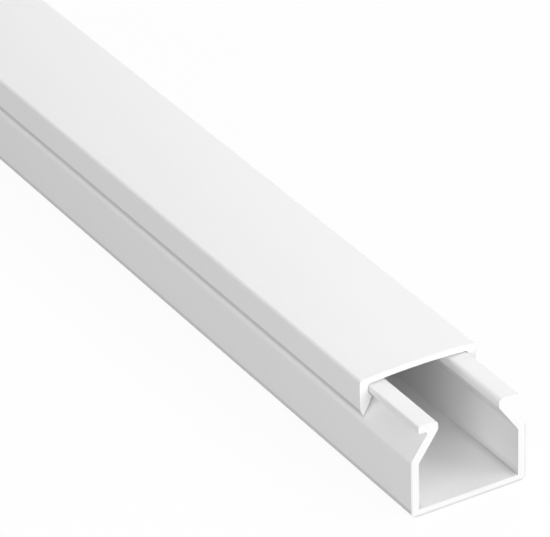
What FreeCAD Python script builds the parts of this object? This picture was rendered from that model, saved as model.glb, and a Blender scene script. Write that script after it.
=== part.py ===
"""Cord cover raceway: an extruded base channel and the snap-on cover that slides along it.

Millimetres. X runs across the channel, Y along it and Z up from the back of the base.
The origin is the centre of the base's back face. Both pieces are plain extrusions of
one section, so each is drawn as half a section, mirrored and run out along Y.
"""
import FreeCAD, Part
import math
import os

# Along the run: both pieces are cut to one length, and the cover is pushed back at the near end
raceway_length = 400.0
cover_setback = 17.1

# Base channel: the shoulder is where the side wall starts to lean in, measured down from the top
base_width = 25.0
base_height = 19.35
side_wall = 1.65
leaning_wall = 1.75
floor_thickness = 1.5
head_thickness = 1.55
head_width = 4.23
shoulder_drop = 7.2
lean_angle = 35.2

# Cover: the skirt's foot stands on the leaning wall, and its barb catches under the base's head
cover_panel = 1.25
cover_arch_radius = 150.0
cover_skirt = 1.75
cover_proud = 0.18
skirt_foot_rise = 0.9
skirt_lead_in = 1.5
barb_reach = 0.95
barb_drop = 1.0
barb_angle = 50.0

# Clearances between the cover and the base: at the skirts and the feet, and over the mouth
fit_gap = 0.1
head_clearance = 0.7

# Corner radii of the two sections, and the most of an edge that one corner's arc may take
foot_radius = 1.4
floor_corner_radius = 0.15
shoulder_radius = 1.2
shoulder_inner_radius = 0.8
lip_top_radius = 0.35
lip_foot_radius = 0.3
lip_root_radius = 0.5
mouth_edge_radius = 0.9
cover_edge_radius = 0.6
cover_corner_radius = 0.7
barb_radius = 0.1
longest_arc_share = 0.45

# The side walls are upright up to the shoulder, and lean in above it
half_width = base_width / 2.0
shoulder_height = base_height - shoulder_drop
lean = math.radians(lean_angle)
lean_run = math.tan(lean)
leaning_wall_across = leaning_wall / math.cos(lean)
head_underside = base_height - head_thickness

# The cover's skirts stand just outside the base's sides, and its arched panel clear of the heads
cover_half_width = half_width + cover_proud
skirt_inner = cover_half_width - cover_skirt
cover_underside = base_height + head_clearance
cover_top = cover_underside + cover_panel


def leaning_face(height):
    """X of the outer face of the right leaning wall at a height."""
    return half_width - (height - shoulder_height) * lean_run


def corner_arc(before, corner, after, radius):
    """The tangent arc that rounds one corner of an outline, as start, middle and end points."""
    to_before = before.sub(corner)
    to_after = after.sub(corner)
    half_angle = to_before.getAngle(to_after) / 2.0
    longest = min(to_before.Length, to_after.Length) * longest_arc_share
    setback = min(radius / math.tan(half_angle), longest)
    radius = setback * math.tan(half_angle)
    to_before.normalize()
    to_after.normalize()
    inward = to_before.add(to_after)
    inward.normalize()
    centre = corner.add(inward * (radius / math.sin(half_angle)))
    start = corner.add(to_before * setback)
    middle = centre.sub(inward * radius)
    end = corner.add(to_after * setback)
    return start, middle, end


def rounded_outline(corners):
    """A closed wire through corners given as (x, z, radius), each with its own tangent arc."""
    points = [FreeCAD.Vector(x, 0.0, z) for x, z, radius in corners]
    count = len(points)
    arcs = []
    for i in range(count):
        arcs.append(corner_arc(points[i - 1], points[i], points[(i + 1) % count], corners[i][2]))
    edges = []
    for i in range(count):
        start, middle, end = arcs[i]
        following = arcs[(i + 1) % count][0]
        edges.append(Part.Arc(start, middle, end).toShape())
        edges.append(Part.LineSegment(end, following).toShape())
    return Part.Wire(edges)


def whole_section(right_half):
    """The right half's corners, in order from the middle, and their mirror images."""
    left_half = [(-x, z, radius) for x, z, radius in reversed(right_half)]
    return right_half + left_half


def extruded(section, start):
    """A section run out along Y for the length of the raceway."""
    face = Part.Face(rounded_outline(section))
    solid = face.extrude(FreeCAD.Vector(0.0, raceway_length, 0.0))
    solid.translate(FreeCAD.Vector(0.0, start, 0.0))
    return solid


def base_half_section():
    """Right half of the base: floor, upright wall, leaning wall and the head that the cover grips."""
    head_outer = skirt_inner - fit_gap
    head_root = leaning_face(head_underside)
    mouth_edge = head_outer - head_width
    wall_inner = half_width - side_wall
    mouth_foot = shoulder_height + (half_width - leaning_wall_across - mouth_edge) / lean_run
    inner_shoulder = shoulder_height + (half_width - leaning_wall_across - wall_inner) / lean_run
    return [
        (half_width, 0.0, foot_radius),
        (half_width, shoulder_height, shoulder_radius),
        (head_root, head_underside, lip_root_radius),
        (head_outer, head_underside, lip_foot_radius),
        (head_outer, base_height, lip_top_radius),
        (mouth_edge, base_height, mouth_edge_radius),
        (mouth_edge, mouth_foot, shoulder_inner_radius),
        (wall_inner, inner_shoulder, shoulder_inner_radius),
        (wall_inner, floor_thickness, floor_corner_radius),
    ]


def arch(half_span, middle_height, radius):
    """Corners round an arch, from its middle to its end: lines that touch it at three places."""
    step = half_span / 2.5
    fall = step * step / radius
    return [
        (0.5 * step, middle_height, radius),
        (1.5 * step, middle_height - fall, radius),
        (half_span, middle_height - 3.0 * fall, radius),
    ]


def cover_half_section():
    """Right half of the cover: arched panel, skirt and the barb that catches under the base's head."""
    outer_arch = arch(cover_half_width, cover_top, cover_arch_radius)
    inner_arch = arch(skirt_inner, cover_underside, cover_arch_radius - cover_panel)
    edge_height = outer_arch.pop()[1]
    corner_height = inner_arch.pop()[1]
    foot_height = shoulder_height + skirt_foot_rise
    foot_inner = leaning_face(foot_height) + fit_gap / math.cos(lean)
    barb_tip = head_underside - barb_drop
    barb_root = barb_tip + barb_reach * math.tan(math.radians(barb_angle))
    skirt = [
        (cover_half_width, edge_height, cover_edge_radius),
        (cover_half_width, foot_height + skirt_lead_in, barb_radius),
        (foot_inner, foot_height, barb_radius),
        (skirt_inner - barb_reach, barb_tip, barb_radius),
        (skirt_inner, barb_root, barb_radius),
        (skirt_inner, corner_height, cover_corner_radius),
    ]
    return outer_arch + skirt + inner_arch[::-1]


def base_channel():
    """The channel that is fixed to the wall, centred on the origin along Y."""
    return extruded(whole_section(base_half_section()), -raceway_length / 2.0)


def snap_cover():
    """The cover, pushed back so that the near end of the channel lies open."""
    return extruded(whole_section(cover_half_section()), cover_setback - raceway_length / 2.0)


os.makedirs("parts", exist_ok=True)
base_channel().exportStep("parts/base_channel.step")
snap_cover().exportStep("parts/snap_cover.step")
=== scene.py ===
"""Cord cover raceway: the finish of its white PVC channel and cover, and the stage around it.

Metres. X runs across the raceway, Y along it and Z up, with the floor at Z 0.
"""
import math

import bmesh
import bpy
from mathutils import Matrix, Vector


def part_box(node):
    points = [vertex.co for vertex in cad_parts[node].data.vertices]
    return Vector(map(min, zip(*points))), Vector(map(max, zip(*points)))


bl_info = {
    "name": "Cord Cover Raceway",
    "version": (1, 0, 0),
    "blender": (4, 5, 0),
    "location": "View3D > Sidebar > Raceway",
    "description": "Gives a snap-on cord cover raceway its extruded PVC finish and sets up its studio",
    "category": "Object",
}

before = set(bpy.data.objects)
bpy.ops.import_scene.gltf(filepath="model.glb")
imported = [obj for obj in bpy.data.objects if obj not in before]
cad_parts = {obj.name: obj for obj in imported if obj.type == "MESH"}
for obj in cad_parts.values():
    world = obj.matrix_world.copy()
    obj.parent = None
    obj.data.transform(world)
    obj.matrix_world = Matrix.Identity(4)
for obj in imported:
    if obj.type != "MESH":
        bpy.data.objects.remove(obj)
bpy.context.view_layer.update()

MM = 0.001


def linear_from_hex(text):
    """An sRGB hex colour such as EFEFEF as a linear red, green and blue."""
    channels = []
    for i in (0, 2, 4):
        value = int(text[i:i + 2], 16) / 255.0
        if value <= 0.04045:
            channels.append(value / 12.92)
        else:
            channels.append(((value + 0.055) / 1.055) ** 2.4)
    return tuple(channels)


def add_node(tree, kind, settings=None, links=None):
    """Adds a node, sets its properties and socket values, and links sockets to other nodes' outputs."""
    node = tree.nodes.new(kind)
    for name, value in (settings or {}).items():
        if isinstance(name, str) and hasattr(node, name):
            setattr(node, name, value)
        else:
            node.inputs[name].default_value = value
    for name, output in (links or {}).items():
        tree.links.new(output, node.inputs[name])
    return node


def new_material(name):
    """An empty node material and its tree."""
    material = bpy.data.materials.new(name)
    material.use_nodes = True
    material.node_tree.nodes.clear()
    return material, material.node_tree


class RacewayFinish(bpy.types.PropertyGroup):
    """The PVC's colours and the marks of its making."""
    skin_colour: bpy.props.FloatVectorProperty(
        name="Skin", description="Colour of the extruded PVC", subtype="COLOR",
        default=linear_from_hex("E8E8E8"), min=0.0, max=1.0)
    cut_colour: bpy.props.FloatVectorProperty(
        name="Sawn ends", description="Colour of the base's sawn ends", subtype="COLOR",
        default=linear_from_hex("E6E6E6"), min=0.0, max=1.0)
    # The cover's sawn ends are set darker than the base's, as painted shade
    cover_cut_shaded_colour: bpy.props.FloatVectorProperty(
        name="Cover's sawn ends", description="Colour of the cover's sawn ends, darker than the base's",
        subtype="COLOR", default=linear_from_hex("E1E1E1"), min=0.0, max=1.0)
    skin_roughness: bpy.props.FloatProperty(
        name="Skin roughness", description="Satin gloss that the die leaves", default=0.5, min=0.0, max=1.0)
    cut_roughness: bpy.props.FloatProperty(
        name="Cut roughness", description="Matt of the sawn ends", default=0.6, min=0.0, max=1.0)
    die_line_spacing: bpy.props.FloatProperty(
        name="Die line spacing", description="Distance between the faint lines that the die draws",
        default=0.9 * MM, unit="LENGTH")
    die_line_depth: bpy.props.FloatProperty(
        name="Die line depth", description="Height of the die lines", default=0.004 * MM, unit="LENGTH")
    saw_mark_spacing: bpy.props.FloatProperty(
        name="Saw mark spacing", description="Distance between the marks of the saw's teeth on the ends",
        default=0.35 * MM, unit="LENGTH")
    saw_mark_depth: bpy.props.FloatProperty(
        name="Saw mark depth", description="Height of the saw marks", default=0.01 * MM, unit="LENGTH")


class RacewayStudio(bpy.types.PropertyGroup):
    """The floor, the lights and the camera."""
    floor_size: bpy.props.FloatProperty(
        name="Floor size", description="Side of the square floor", default=12.0, unit="LENGTH")
    floor_colour: bpy.props.FloatVectorProperty(
        name="Floor", description="Colour of the floor as the lamps see it", subtype="COLOR",
        default=linear_from_hex("808080"), min=0.0, max=1.0)
    paper_colour: bpy.props.FloatVectorProperty(
        name="Paper", description="Colour of the floor as the camera sees it", subtype="COLOR",
        default=linear_from_hex("F4F4F4"), min=0.0, max=1.0)
    floor_glow: bpy.props.FloatProperty(
        name="Floor glow", description="Share of the floor that shows as plain white", default=0.94,
        subtype="FACTOR", min=0.0, max=1.0)
    room_light: bpy.props.FloatProperty(
        name="Room light", description="Light that comes evenly from all round", default=0.2, min=0.0)
    camera_azimuth: bpy.props.FloatProperty(
        name="Camera azimuth", description="Turn of the camera round the raceway",
        default=math.radians(-30.036), subtype="ANGLE")
    camera_elevation: bpy.props.FloatProperty(
        name="Camera elevation", description="How far the camera looks down",
        default=math.radians(30.209), subtype="ANGLE")
    camera_roll: bpy.props.FloatProperty(
        name="Camera roll", description="Tilt of the camera about its line of sight",
        default=math.radians(-1.59), subtype="ANGLE")
    camera_distance: bpy.props.FloatProperty(
        name="Camera distance", description="From the camera to the point it aims at", default=0.7843,
        unit="LENGTH")
    camera_aim: bpy.props.FloatVectorProperty(
        name="Camera aim", description="Point in the middle of the picture",
        default=(-0.02173, -0.16872, 0.04075), subtype="TRANSLATION", unit="LENGTH")
    camera_lens: bpy.props.FloatProperty(
        name="Lens", description="Focal length in millimetres on a 36 mm sensor", default=281.44)


# Soft boxes: name, direction from LIGHT_AIM, distance in metres, side in metres and power in watts
SOFT_BOXES = (
    ("front_box", (0.0, -1.0, 0.5), 1.6, 0.8, 8.1),
    ("low_front_box", (0.1, -1.0, 0.15), 1.6, 0.8, 8.0),
    ("front_left_box", (-0.7, -0.7, 0.4), 1.6, 1.0, 4.6),
    ("low_front_left_box", (-0.8, -0.8, 0.12), 1.6, 0.8, 9.8),
    ("low_back_left_box", (-1.0, 0.4, 0.12), 1.6, 0.8, 7.2),
    ("high_right_box", (0.5, -0.1, 1.0), 1.6, 1.0, 3.2),
    ("high_front_right_box", (0.7, -0.7, 0.9), 1.6, 1.0, 9.6),
    ("back_right_box", (0.7, 0.7, 0.6), 1.6, 1.0, 7.2),
)
# The point that the soft boxes face, in the near half of the run
LIGHT_AIM = (0.0, -0.12, 0.01)

SENSOR_WIDTH = 36.0
PVC_IOR = 1.53

# Die lines and saw marks: a die line's length over its width, the turn of the saw marks and a mark's
# width over its length
DIE_LINE_STRETCH = 400.0
SAW_MARK_TURN = math.radians(24.0)
SAW_MARK_ASPECT = 0.06

# Mottle: patches per metre, and the least and most that the die lines and the patches scale the colour
PATCHES_PER_METRE = 60.0
DIE_LINE_TONES = (0.985, 1.015)
PATCH_TONES = (0.99, 1.01)

# A surface is a sawn end where its normal's Y, either way, is over this
SAWN_FACING = 0.9

# The Mix node's sockets for vectors, which share their names with its sockets for numbers and colours
MIX_VECTOR_A = 4
MIX_VECTOR_B = 5
MIX_VECTOR_RESULT = 1

# Where the two pieces start and end, and the channel's wall and floor
SIDE_WALL = 1.65 * MM
FLOOR_THICKNESS = 1.5 * MM
HALF_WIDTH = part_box("base_channel")[1][0]
CHANNEL_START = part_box("base_channel")[0][1]
SKIRT_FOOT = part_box("snap_cover")[0][2]
COVER_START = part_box("snap_cover")[0][1]

# How far from its start the painted shade thins out and ends: near the open end, or past the far end and so
# nowhere
OPEN_END = (10.0 * MM, 24.0 * MM)
WHOLE_RUN = (1.0, 2.0)
# Half of the length over which the painted shade sets in at its start
SHADE_ONSET = 0.5 * MM

# Painted shade in lines along the run, where shade falls in the inner corners, at the foot, below the
# seam and on the cover's lead-in, alike on both sides. across and height are a line's distances from the
# middle plane and from the ground. The painted shade takes depth, as a share of the colour, up to full
# away from the line, and nothing from faded on.
INNER_CORNER_SHADE = dict(
    across=HALF_WIDTH - SIDE_WALL, height=FLOOR_THICKNESS, full=0.1 * MM, faded=0.45 * MM, depth=0.19,
    start=CHANNEL_START, clears=OPEN_END)
INNER_CORNER_SOFT_SHADE = dict(
    across=HALF_WIDTH - SIDE_WALL, height=FLOOR_THICKNESS, full=0.2 * MM, faded=2.0 * MM, depth=0.14,
    start=CHANNEL_START, clears=OPEN_END)
FOOT_SHADE = dict(
    across=HALF_WIDTH - 0.05 * MM, height=1.2 * MM, full=0.35 * MM, faded=0.8 * MM, depth=0.22,
    start=CHANNEL_START, clears=WHOLE_RUN)
COVER_LINE_SHADE = dict(
    across=HALF_WIDTH - 0.63 * MM, height=SKIRT_FOOT - 0.07 * MM, full=0.15 * MM, faded=0.55 * MM,
    depth=0.26, start=COVER_START, clears=WHOLE_RUN)
LEAD_IN_SHADE = dict(
    across=HALF_WIDTH - 0.13 * MM, height=SKIRT_FOOT + 0.72 * MM, full=0.6 * MM, faded=0.8 * MM,
    depth=0.28, start=COVER_START, clears=WHOLE_RUN)

# Painted shade along the foot and outer sides of the base's sawn ends: how far it reaches up from the foot
# and in from the outer sides, and the share of the colour that it takes at each
END_FOOT_SHADE_REACH = 0.3 * MM
END_FOOT_SHADE_DEPTH = 0.24
END_SIDE_SHADE_REACH = 0.2 * MM
END_SIDE_SHADE_DEPTH = 0.12


def painted_shade_line(tree, place, across, height, full, faded, depth, start, clears):
    """An output that is 1 away from a line along the run and falls by a depth near it: painted shade."""
    at = add_node(tree, "ShaderNodeSeparateXYZ", {}, {"Vector": place.outputs["Object"]})
    sideways = add_node(tree, "ShaderNodeMath", {"operation": "ABSOLUTE"}, {0: at.outputs["X"]})
    section = add_node(
        tree, "ShaderNodeCombineXYZ", {}, {"X": sideways.outputs["Value"], "Z": at.outputs["Z"]})
    away = add_node(
        tree, "ShaderNodeVectorMath", {"operation": "DISTANCE", 1: (across, 0.0, height)},
        {0: section.outputs["Vector"]})
    near = add_node(
        tree, "ShaderNodeMapRange",
        {"interpolation_type": "SMOOTHSTEP", "From Min": full, "From Max": faded,
         "To Min": depth, "To Max": 0.0},
        {"Value": away.outputs["Value"]})
    along = add_node(
        tree, "ShaderNodeMapRange", {"From Min": start - SHADE_ONSET, "From Max": start + SHADE_ONSET},
        {"Value": at.outputs["Y"]})
    shaded_run = add_node(
        tree, "ShaderNodeMapRange",
        {"From Min": start + clears[0], "From Max": start + clears[1], "To Min": 1.0, "To Max": 0.0},
        {"Value": at.outputs["Y"]})
    stretch = add_node(
        tree, "ShaderNodeMath", {"operation": "MULTIPLY"},
        {0: along.outputs["Result"], 1: shaded_run.outputs["Result"]})
    painted_shade = add_node(
        tree, "ShaderNodeMath", {"operation": "MULTIPLY"},
        {0: near.outputs["Result"], 1: stretch.outputs["Value"]})
    unshaded = add_node(tree, "ShaderNodeMath", {"operation": "SUBTRACT", 0: 1.0}, {1: painted_shade.outputs["Value"]})
    return unshaded.outputs["Value"]


def painted_edge_shade(tree, place):
    """An output that is 1 on a sawn end and falls along its foot and outer sides: painted shade."""
    at = add_node(tree, "ShaderNodeSeparateXYZ", {}, {"Vector": place.outputs["Object"]})
    sideways = add_node(tree, "ShaderNodeMath", {"operation": "ABSOLUTE"}, {0: at.outputs["X"]})
    foot = add_node(
        tree, "ShaderNodeMapRange",
        {"From Min": END_FOOT_SHADE_REACH, "From Max": 2.0 * END_FOOT_SHADE_REACH,
         "To Min": 1.0 - END_FOOT_SHADE_DEPTH, "To Max": 1.0},
        {"Value": at.outputs["Z"]})
    side = add_node(
        tree, "ShaderNodeMapRange",
        {"From Min": HALF_WIDTH - 2.0 * END_SIDE_SHADE_REACH, "From Max": HALF_WIDTH - END_SIDE_SHADE_REACH,
         "To Min": 1.0, "To Max": 1.0 - END_SIDE_SHADE_DEPTH},
        {"Value": sideways.outputs["Value"]})
    both = add_node(
        tree, "ShaderNodeMath", {"operation": "MULTIPLY"},
        {0: foot.outputs["Result"], 1: side.outputs["Result"]})
    return both.outputs["Value"]


def extruded_pvc(name, finish, cut, painted_shade, shade_sawn_edges):
    """Rigid PVC as it leaves the die: an even white satin with faint lines along it and sawn ends."""
    material, tree = new_material(name)
    place = add_node(tree, "ShaderNodeTexCoord")
    along = finish.die_line_spacing * DIE_LINE_STRETCH
    across = finish.die_line_spacing
    stretched = add_node(
        tree, "ShaderNodeMapping", {"Scale": (1.0 / across, 1.0 / along, 1.0 / across)},
        {"Vector": place.outputs["Object"]})
    die_lines = add_node(
        tree, "ShaderNodeTexNoise", {"Scale": 1.0, "Detail": 2.0, "Roughness": 0.6},
        {"Vector": stretched.outputs["Vector"]})
    patches = add_node(
        tree, "ShaderNodeTexNoise", {"Scale": PATCHES_PER_METRE, "Detail": 3.0},
        {"Vector": place.outputs["Object"]})
    saw_place = add_node(
        tree, "ShaderNodeMapping",
        {"Rotation": (0.0, SAW_MARK_TURN, 0.0),
         "Scale": (SAW_MARK_ASPECT / finish.saw_mark_spacing, 1.0, 1.0 / finish.saw_mark_spacing)},
        {"Vector": place.outputs["Object"]})
    saw_marks = add_node(
        tree, "ShaderNodeTexNoise", {"Scale": 1.0, "Detail": 2.0}, {"Vector": saw_place.outputs["Vector"]})
    facing = add_node(tree, "ShaderNodeSeparateXYZ", {}, {"Vector": place.outputs["Normal"]})
    turned = add_node(tree, "ShaderNodeMath", {"operation": "ABSOLUTE"}, {0: facing.outputs["Y"]})
    is_cut = add_node(
        tree, "ShaderNodeMath", {"operation": "GREATER_THAN", 1: SAWN_FACING}, {0: turned.outputs["Value"]})

    streaked = add_node(
        tree, "ShaderNodeMapRange", {"To Min": DIE_LINE_TONES[0], "To Max": DIE_LINE_TONES[1]},
        {"Value": die_lines.outputs["Fac"]})
    mottled = add_node(
        tree, "ShaderNodeMapRange", {"To Min": PATCH_TONES[0], "To Max": PATCH_TONES[1]},
        {"Value": patches.outputs["Fac"]})
    shade = add_node(
        tree, "ShaderNodeMath", {"operation": "MULTIPLY"},
        {0: streaked.outputs["Result"], 1: mottled.outputs["Result"]})
    sawn = mottled.outputs["Result"]
    # Painted shade along the foot and outer sides of the sawn ends
    if shade_sawn_edges:
        edged = add_node(
            tree, "ShaderNodeMath", {"operation": "MULTIPLY"}, {0: sawn, 1: painted_edge_shade(tree, place)})
        sawn = edged.outputs["Value"]
    skin = shade.outputs["Value"]
    # Painted shade along lines where shade falls, on the skin
    for line in painted_shade:
        shade_painted = add_node(
            tree, "ShaderNodeMath", {"operation": "MULTIPLY"}, {0: skin, 1: painted_shade_line(tree, place, **line)})
        skin = shade_painted.outputs["Value"]
    skin_colour = add_node(
        tree, "ShaderNodeVectorMath", {"operation": "SCALE", 0: tuple(finish.skin_colour)}, {"Scale": skin})
    cut_colour = add_node(
        tree, "ShaderNodeVectorMath", {"operation": "SCALE", 0: tuple(cut)}, {"Scale": sawn})
    colour = add_node(
        tree, "ShaderNodeMix", {"data_type": "VECTOR"},
        {"Factor": is_cut.outputs["Value"], MIX_VECTOR_A: skin_colour.outputs["Vector"],
         MIX_VECTOR_B: cut_colour.outputs["Vector"]})

    roughness = add_node(
        tree, "ShaderNodeMapRange", {"To Min": finish.skin_roughness, "To Max": finish.cut_roughness},
        {"Value": is_cut.outputs["Value"]})
    skin_bump = add_node(
        tree, "ShaderNodeBump", {"Distance": finish.die_line_depth}, {"Height": die_lines.outputs["Fac"]})
    cut_depth = add_node(
        tree, "ShaderNodeMath", {"operation": "MULTIPLY"},
        {0: saw_marks.outputs["Fac"], 1: is_cut.outputs["Value"]})
    bump = add_node(
        tree, "ShaderNodeBump", {"Distance": finish.saw_mark_depth},
        {"Height": cut_depth.outputs["Value"], "Normal": skin_bump.outputs["Normal"]})
    shader = add_node(
        tree, "ShaderNodeBsdfPrincipled", {"IOR": PVC_IOR},
        {"Base Color": colour.outputs[MIX_VECTOR_RESULT], "Roughness": roughness.outputs["Result"],
         "Normal": bump.outputs["Normal"]})
    add_node(tree, "ShaderNodeOutputMaterial", {}, {"Surface": shader.outputs["BSDF"]})
    return material


def seen_directly(tree):
    """An output that is 1 for camera, glossy and transmission rays, and 0 for the light on things."""
    rays = add_node(tree, "ShaderNodeLightPath")
    camera_or_gloss = add_node(
        tree, "ShaderNodeMath", {"operation": "MAXIMUM"},
        {0: rays.outputs["Is Camera Ray"], 1: rays.outputs["Is Glossy Ray"]})
    shown = add_node(
        tree, "ShaderNodeMath", {"operation": "MAXIMUM"},
        {0: camera_or_gloss.outputs["Value"], 1: rays.outputs["Is Transmission Ray"]})
    return shown.outputs["Value"]


def paper_floor(studio):
    """Pale paper that is grey to the lamps, and near white with a soft shadow to camera and gloss."""
    material, tree = new_material("pale_floor_paper")
    lit = add_node(tree, "ShaderNodeBsdfDiffuse", {"Color": (*studio.floor_colour, 1.0)})
    paper = add_node(tree, "ShaderNodeBsdfDiffuse", {"Color": (*studio.paper_colour, 1.0)})
    white = add_node(tree, "ShaderNodeEmission", {"Strength": 1.0})
    shown = add_node(
        tree, "ShaderNodeMixShader", {"Fac": studio.floor_glow},
        {1: paper.outputs["BSDF"], 2: white.outputs["Emission"]})
    both = add_node(
        tree, "ShaderNodeMixShader", {},
        {"Fac": seen_directly(tree), 1: lit.outputs["BSDF"], 2: shown.outputs["Shader"]})
    add_node(tree, "ShaderNodeOutputMaterial", {}, {"Surface": both.outputs["Shader"]})
    return material


def white_world(studio):
    """A plain white surround, whose light on the raceway is set apart from how bright it looks."""
    world = bpy.data.worlds.new("white_surround")
    world.use_nodes = True
    tree = world.node_tree
    tree.nodes.clear()
    strength = add_node(
        tree, "ShaderNodeMapRange", {"To Min": studio.room_light, "To Max": 1.0},
        {"Value": seen_directly(tree)})
    surround = add_node(
        tree, "ShaderNodeBackground", {"Color": (1.0, 1.0, 1.0, 1.0)},
        {"Strength": strength.outputs["Result"]})
    add_node(tree, "ShaderNodeOutputWorld", {}, {"Surface": surround.outputs["Background"]})
    bpy.context.scene.world = world


def add_soft_box(name, direction, distance, side, power):
    """A square area light that faces the raceway."""
    light = bpy.data.lights.new(name, "AREA")
    light.shape = "SQUARE"
    light.size = side
    light.energy = power
    box = bpy.data.objects.new(name, light)
    bpy.context.scene.collection.objects.link(box)
    towards = Vector(direction).normalized()
    box.location = Vector(LIGHT_AIM) + towards * distance
    box.rotation_mode = "QUATERNION"
    box.rotation_quaternion = towards.to_track_quat("Z", "Y")


class RACEWAY_OT_base_channel(bpy.types.Operator):
    """Give the base channel its extruded PVC finish"""
    bl_idname = "raceway.base_channel"
    bl_label = "Finish Base Channel"

    def execute(self, context):
        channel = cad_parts["base_channel"]
        channel.data.materials.clear()
        finish = context.scene.raceway_finish
        # Painted shade in the inner corners, along the foot and below the seam
        painted_shade = (INNER_CORNER_SHADE, INNER_CORNER_SOFT_SHADE, FOOT_SHADE, COVER_LINE_SHADE)
        # The sawn ends get painted shade along their foot and outer sides
        channel.data.materials.append(
            extruded_pvc("extruded_pvc_base", finish, finish.cut_colour, painted_shade, True))
        return {"FINISHED"}


class RACEWAY_OT_snap_cover(bpy.types.Operator):
    """Give the snap-on cover its extruded PVC finish"""
    bl_idname = "raceway.snap_cover"
    bl_label = "Finish Snap Cover"

    def execute(self, context):
        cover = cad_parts["snap_cover"]
        cover.data.materials.clear()
        finish = context.scene.raceway_finish
        # Painted shade on the cover's lead-in at the seam
        cover.data.materials.append(
            extruded_pvc("extruded_pvc_cover", finish, finish.cover_cut_shaded_colour, (LEAD_IN_SHADE,), False))
        return {"FINISHED"}


class RACEWAY_OT_stage(bpy.types.Operator):
    """Lay the pale floor and hang the soft lights"""
    bl_idname = "raceway.stage"
    bl_label = "Set Stage"

    def execute(self, context):
        studio = context.scene.raceway_studio
        sheet = bmesh.new()
        bmesh.ops.create_grid(sheet, x_segments=1, y_segments=1, size=studio.floor_size / 2.0)
        mesh = bpy.data.meshes.new("floor")
        sheet.to_mesh(mesh)
        sheet.free()
        floor = bpy.data.objects.new("floor", mesh)
        context.scene.collection.objects.link(floor)
        mesh.materials.append(paper_floor(studio))
        white_world(studio)
        for soft_box in SOFT_BOXES:
            add_soft_box(*soft_box)
        context.scene.view_settings.view_transform = "Standard"
        return {"FINISHED"}


class RACEWAY_OT_camera(bpy.types.Operator):
    """Place the camera at the photograph's viewing angle"""
    bl_idname = "raceway.camera"
    bl_label = "Place Camera"

    def execute(self, context):
        studio = context.scene.raceway_studio
        lens = bpy.data.cameras.new("camera")
        lens.lens = studio.camera_lens
        lens.sensor_width = SENSOR_WIDTH
        camera = bpy.data.objects.new("camera", lens)
        context.scene.collection.objects.link(camera)
        azimuth, elevation = studio.camera_azimuth, studio.camera_elevation
        back = Vector((
            math.sin(azimuth) * math.cos(elevation),
            -math.cos(azimuth) * math.cos(elevation),
            math.sin(elevation)))
        upright = back.to_track_quat("Z", "Y").to_matrix()
        roll = Matrix.Rotation(studio.camera_roll, 3, "Z")
        camera.matrix_world = Matrix.Translation(
            Vector(studio.camera_aim) + back * studio.camera_distance) @ (upright @ roll).to_4x4()
        context.scene.camera = camera
        return {"FINISHED"}


class RACEWAY_PT_panel(bpy.types.Panel):
    """Lists the raceway's operators and settings"""
    bl_idname = "RACEWAY_PT_panel"
    bl_label = "Cord Cover Raceway"
    bl_space_type = "VIEW_3D"
    bl_region_type = "UI"
    bl_category = "Raceway"

    def draw(self, context):
        for operator in STEPS:
            self.layout.operator(operator.bl_idname)
        for group in (context.scene.raceway_finish, context.scene.raceway_studio):
            for name in group.__annotations__:
                self.layout.prop(group, name)


STEPS = (RACEWAY_OT_base_channel, RACEWAY_OT_snap_cover, RACEWAY_OT_stage, RACEWAY_OT_camera)
CLASSES = (RacewayFinish, RacewayStudio, *STEPS, RACEWAY_PT_panel)


def register():
    for new_class in CLASSES:
        bpy.utils.register_class(new_class)
    bpy.types.Scene.raceway_finish = bpy.props.PointerProperty(type=RacewayFinish)
    bpy.types.Scene.raceway_studio = bpy.props.PointerProperty(type=RacewayStudio)


def unregister():
    del bpy.types.Scene.raceway_studio
    del bpy.types.Scene.raceway_finish
    for old_class in reversed(CLASSES):
        bpy.utils.unregister_class(old_class)


def main():
    register()
    bpy.ops.raceway.base_channel()
    bpy.ops.raceway.snap_cover()
    bpy.ops.raceway.stage()
    bpy.ops.raceway.camera()


if __name__ == "__main__":
    main()
